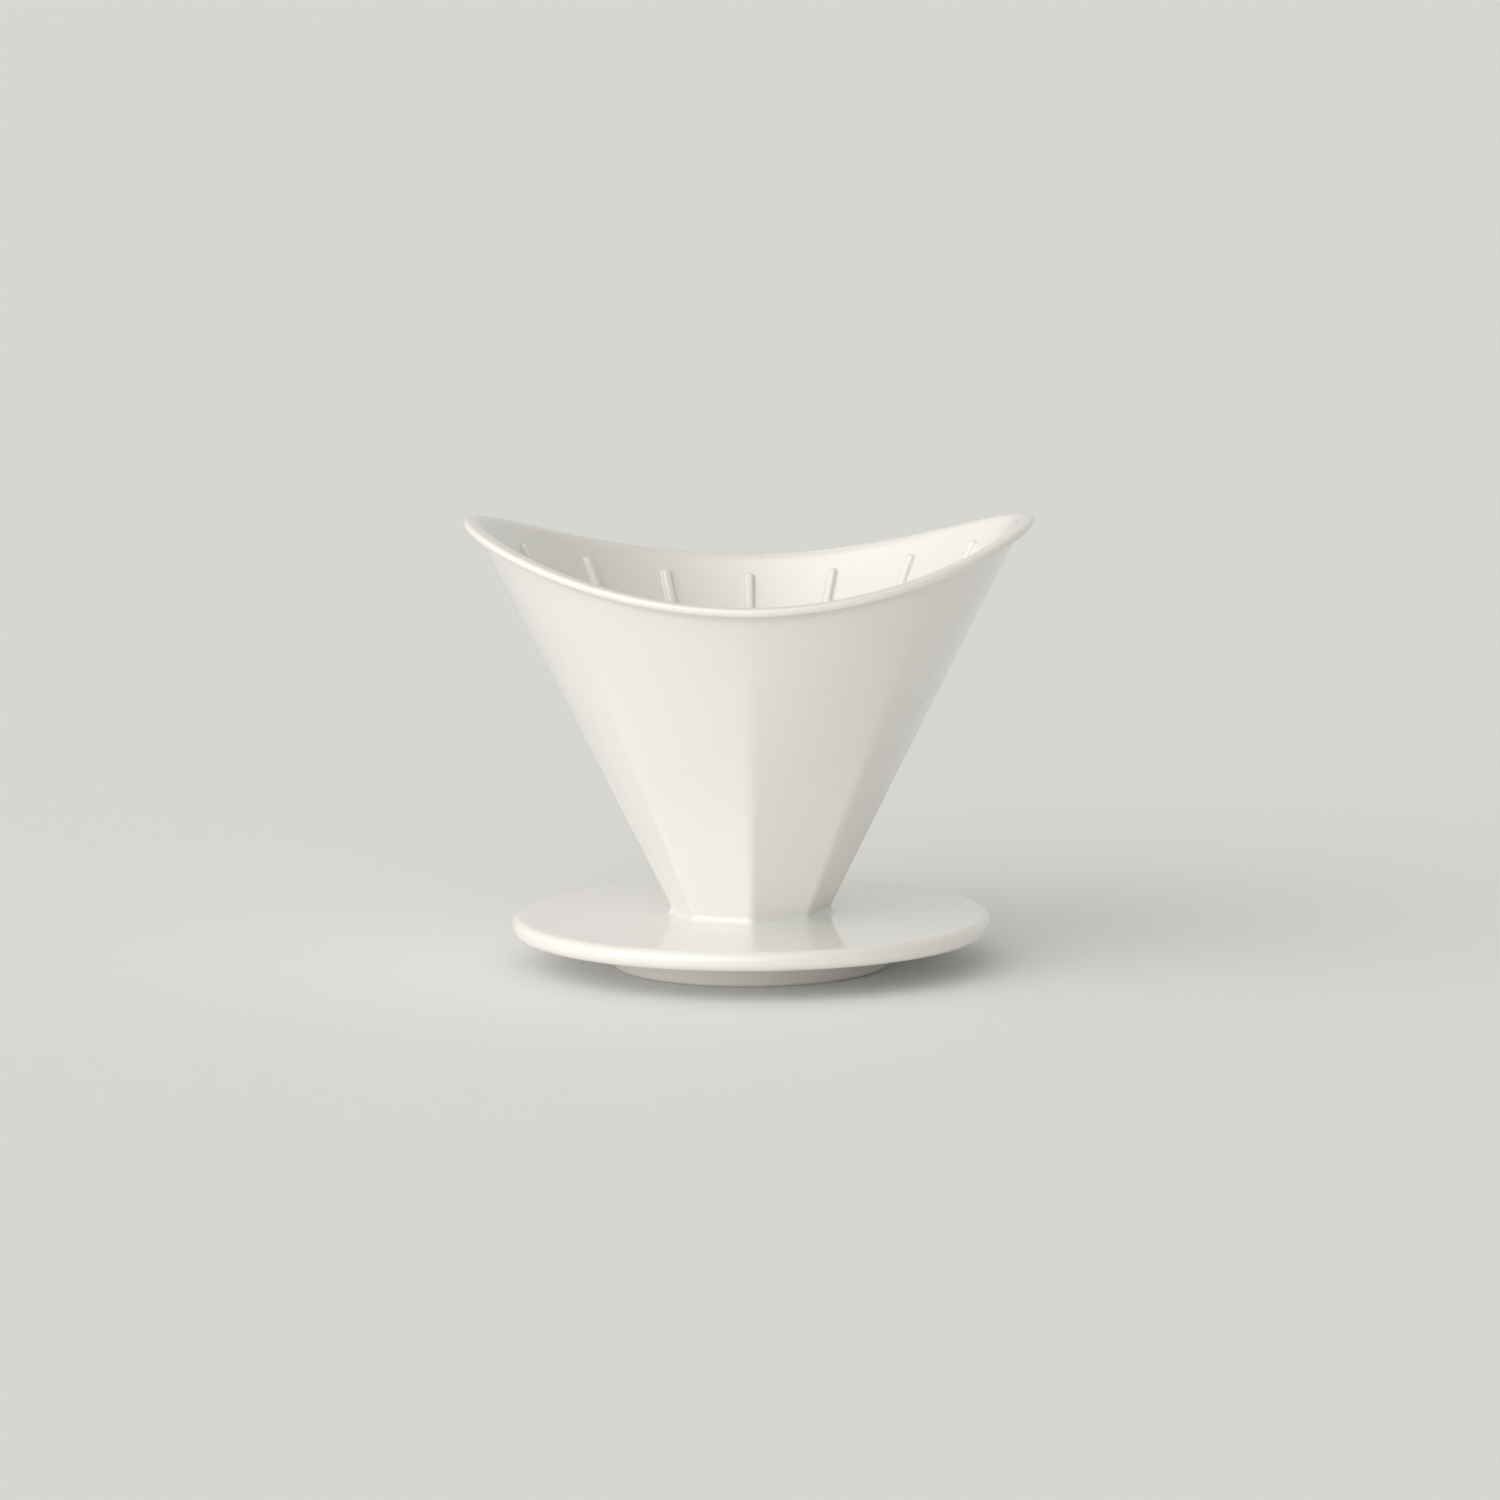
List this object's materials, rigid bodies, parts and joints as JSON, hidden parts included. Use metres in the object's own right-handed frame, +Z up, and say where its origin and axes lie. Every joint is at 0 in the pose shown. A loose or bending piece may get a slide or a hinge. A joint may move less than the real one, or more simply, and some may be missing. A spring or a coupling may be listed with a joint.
{
  "type": "pour over coffee dripper",
  "caption": "White porcelain pour over dripper: octagonal cone that rounds into a saddle-shaped lipped rim, ribbed inside, on a round plate with a foot ring.",
  "frame": {"origin": "centre of the foot ring's resting face", "axes": "+Z up along the outlet's axis; +X towards one high point of the saddle rim; +Y towards one low point of the rim, with a corner of the octagon facing -Y"},
  "size_m": [0.1242, 0.1104, 0.0987],
  "materials": {
    "glazed_porcelain": "clear gloss glaze over warm white porcelain"
  },
  "bodies": {
    "root": {"foot_ring": "glazed_porcelain", "base_plate": "glazed_porcelain", "cone_wall": "glazed_porcelain", "rim_lip": "glazed_porcelain", "filter_ribs": "glazed_porcelain"}
  },
  "joints": []
}
